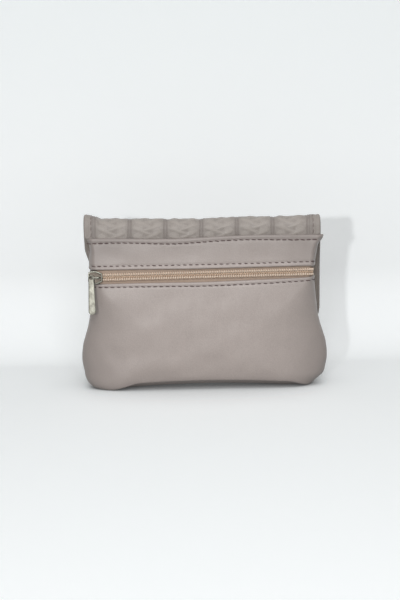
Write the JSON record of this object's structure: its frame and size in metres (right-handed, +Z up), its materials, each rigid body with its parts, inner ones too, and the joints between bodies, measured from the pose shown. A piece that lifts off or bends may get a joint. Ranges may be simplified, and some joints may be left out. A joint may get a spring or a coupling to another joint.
{
  "type": "flap coin purse",
  "caption": "Small soft leather flap purse with folded side gussets, a zipped pocket across its back and an embossed fold-over flap held by a hidden snap.",
  "frame": {"origin": "middle of the object in X and Y, at the plane that its two lower corners stand on", "axes": "+X along the zip, to the right when looking at the zipped back; +Y from the zipped back to the flap side; +Z up"},
  "size_m": [0.134, 0.0335, 0.094],
  "materials": {
    "leather": "soft smooth nappa, satin",
    "embossed_leather": "embossed, satin",
    "lining": "plain weave, matt",
    "interlining": "felted, matt",
    "zip_tape": "woven polyester tape",
    "zip_coil": "polyester coil, satin",
    "zip_metal": "polished nickel",
    "snap_metal": "satin nickel"
  },
  "bodies": {
    "purse_body": {"back_upper_panel": "leather", "back_lower_panel": "leather", "front_panel": "leather", "gusset_left": "leather", "gusset_right": "leather", "flap_strip": "embossed_leather", "flap_fold": "embossed_leather", "flap_fold_lining": "lining", "main_lining": "lining", "zip_pocket_bag": "lining", "zip_tape_upper": "zip_tape", "zip_tape_lower": "zip_tape", "zip_coil_upper": "zip_coil", "zip_coil_lower": "zip_coil", "snap_socket": "snap_metal", "snap_socket_washer": "snap_metal"},
    "flap": {"flap_leaf": "embossed_leather", "flap_interlining": "interlining", "flap_lining": "lining", "snap_stud": "snap_metal", "snap_stud_washer": "snap_metal"},
    "slider": {"slider_body": "zip_metal"},
    "pull": {"zip_pull": "zip_metal"}
  },
  "joints": [
    {"name": "flap_hinge", "type": "hinge", "parent": "purse_body", "child": "flap", "pos_m": [0, -0.00164, 0.0882], "axis": [1, 0, 0], "range_deg": [0, 180], "deforming": ["flap_fold", "flap_fold_lining"]},
    {"name": "zip_slide", "type": "slide", "parent": "purse_body", "child": "slider", "axis": [1, 0.001, 0.008], "range_m": [0, 0.112], "deforming": ["zip_coil_upper", "zip_coil_lower"]},
    {"name": "pull_swivel", "type": "hinge", "parent": "slider", "child": "pull", "pos_m": [-0.06011, -0.01353, 0.06322], "axis": [0, -0.992, 0.1259], "range_deg": [-150, 55]}
  ]
}
